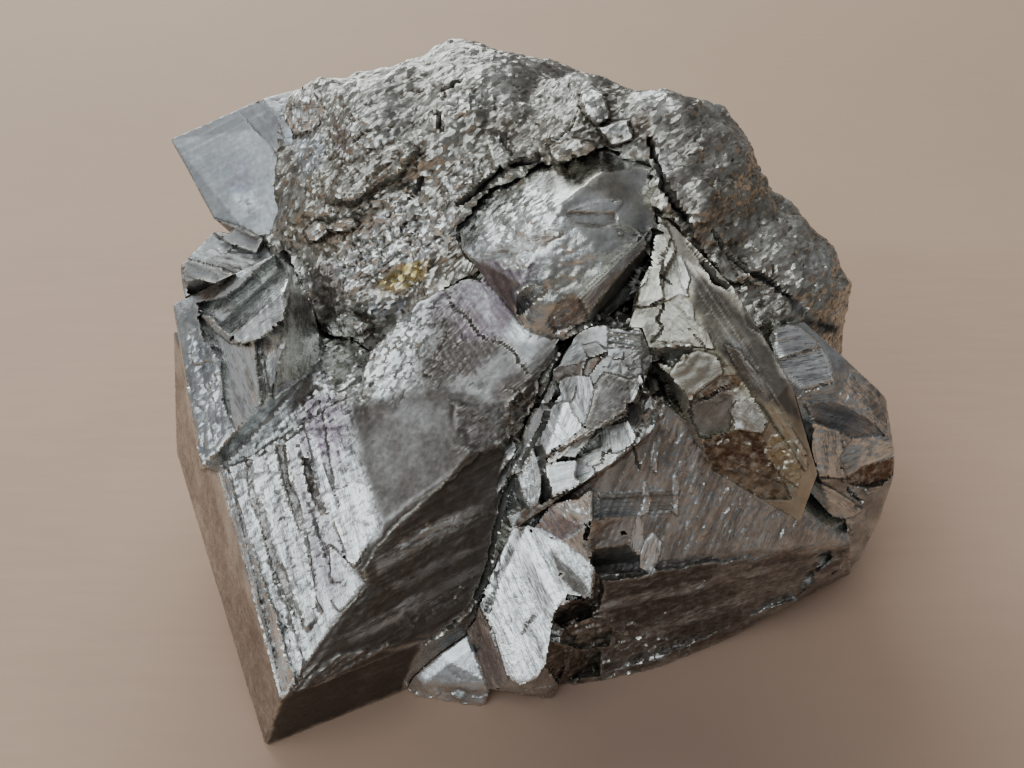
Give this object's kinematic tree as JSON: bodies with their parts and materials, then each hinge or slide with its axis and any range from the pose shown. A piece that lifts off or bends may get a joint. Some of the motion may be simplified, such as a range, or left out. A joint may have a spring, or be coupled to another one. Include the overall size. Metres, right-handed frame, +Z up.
{
  "type": "pyrite in matrix",
  "caption": "Rough hand specimen of metallic pyrite: striated cube corners and broken crystals grown in a granular matrix, resting on a flat break.",
  "frame": {"origin": "under the middle of the specimen's bounding box, on the surface that it rests on", "axes": "+X to the specimen's right, seen from the side with the large crystals; +Y to its back; +Z up"},
  "size_m": [0.112, 0.0984, 0.073],
  "materials": {
    "granular_matrix": "rough granular pyrite, olive grey with brown and yellow stains and small glittering faces",
    "bright_pyrite": "metallic, striated, silver with purple tarnish",
    "broken_pyrite": "metallic, fine steps, bright silver and dark brown faces",
    "tarnished_pyrite": "metallic, olive and red-brown tarnish, shell-like breaks",
    "smooth_pyrite": "metallic, smooth, blue-grey"
  },
  "bodies": {
    "root": {"matrix": "granular_matrix", "left_crystal": "bright_pyrite", "right_crystal": "broken_pyrite", "ridge_crystal": "tarnished_pyrite", "right_corner_crystal": "bright_pyrite", "back_left_crystal": "smooth_pyrite"}
  },
  "joints": []
}
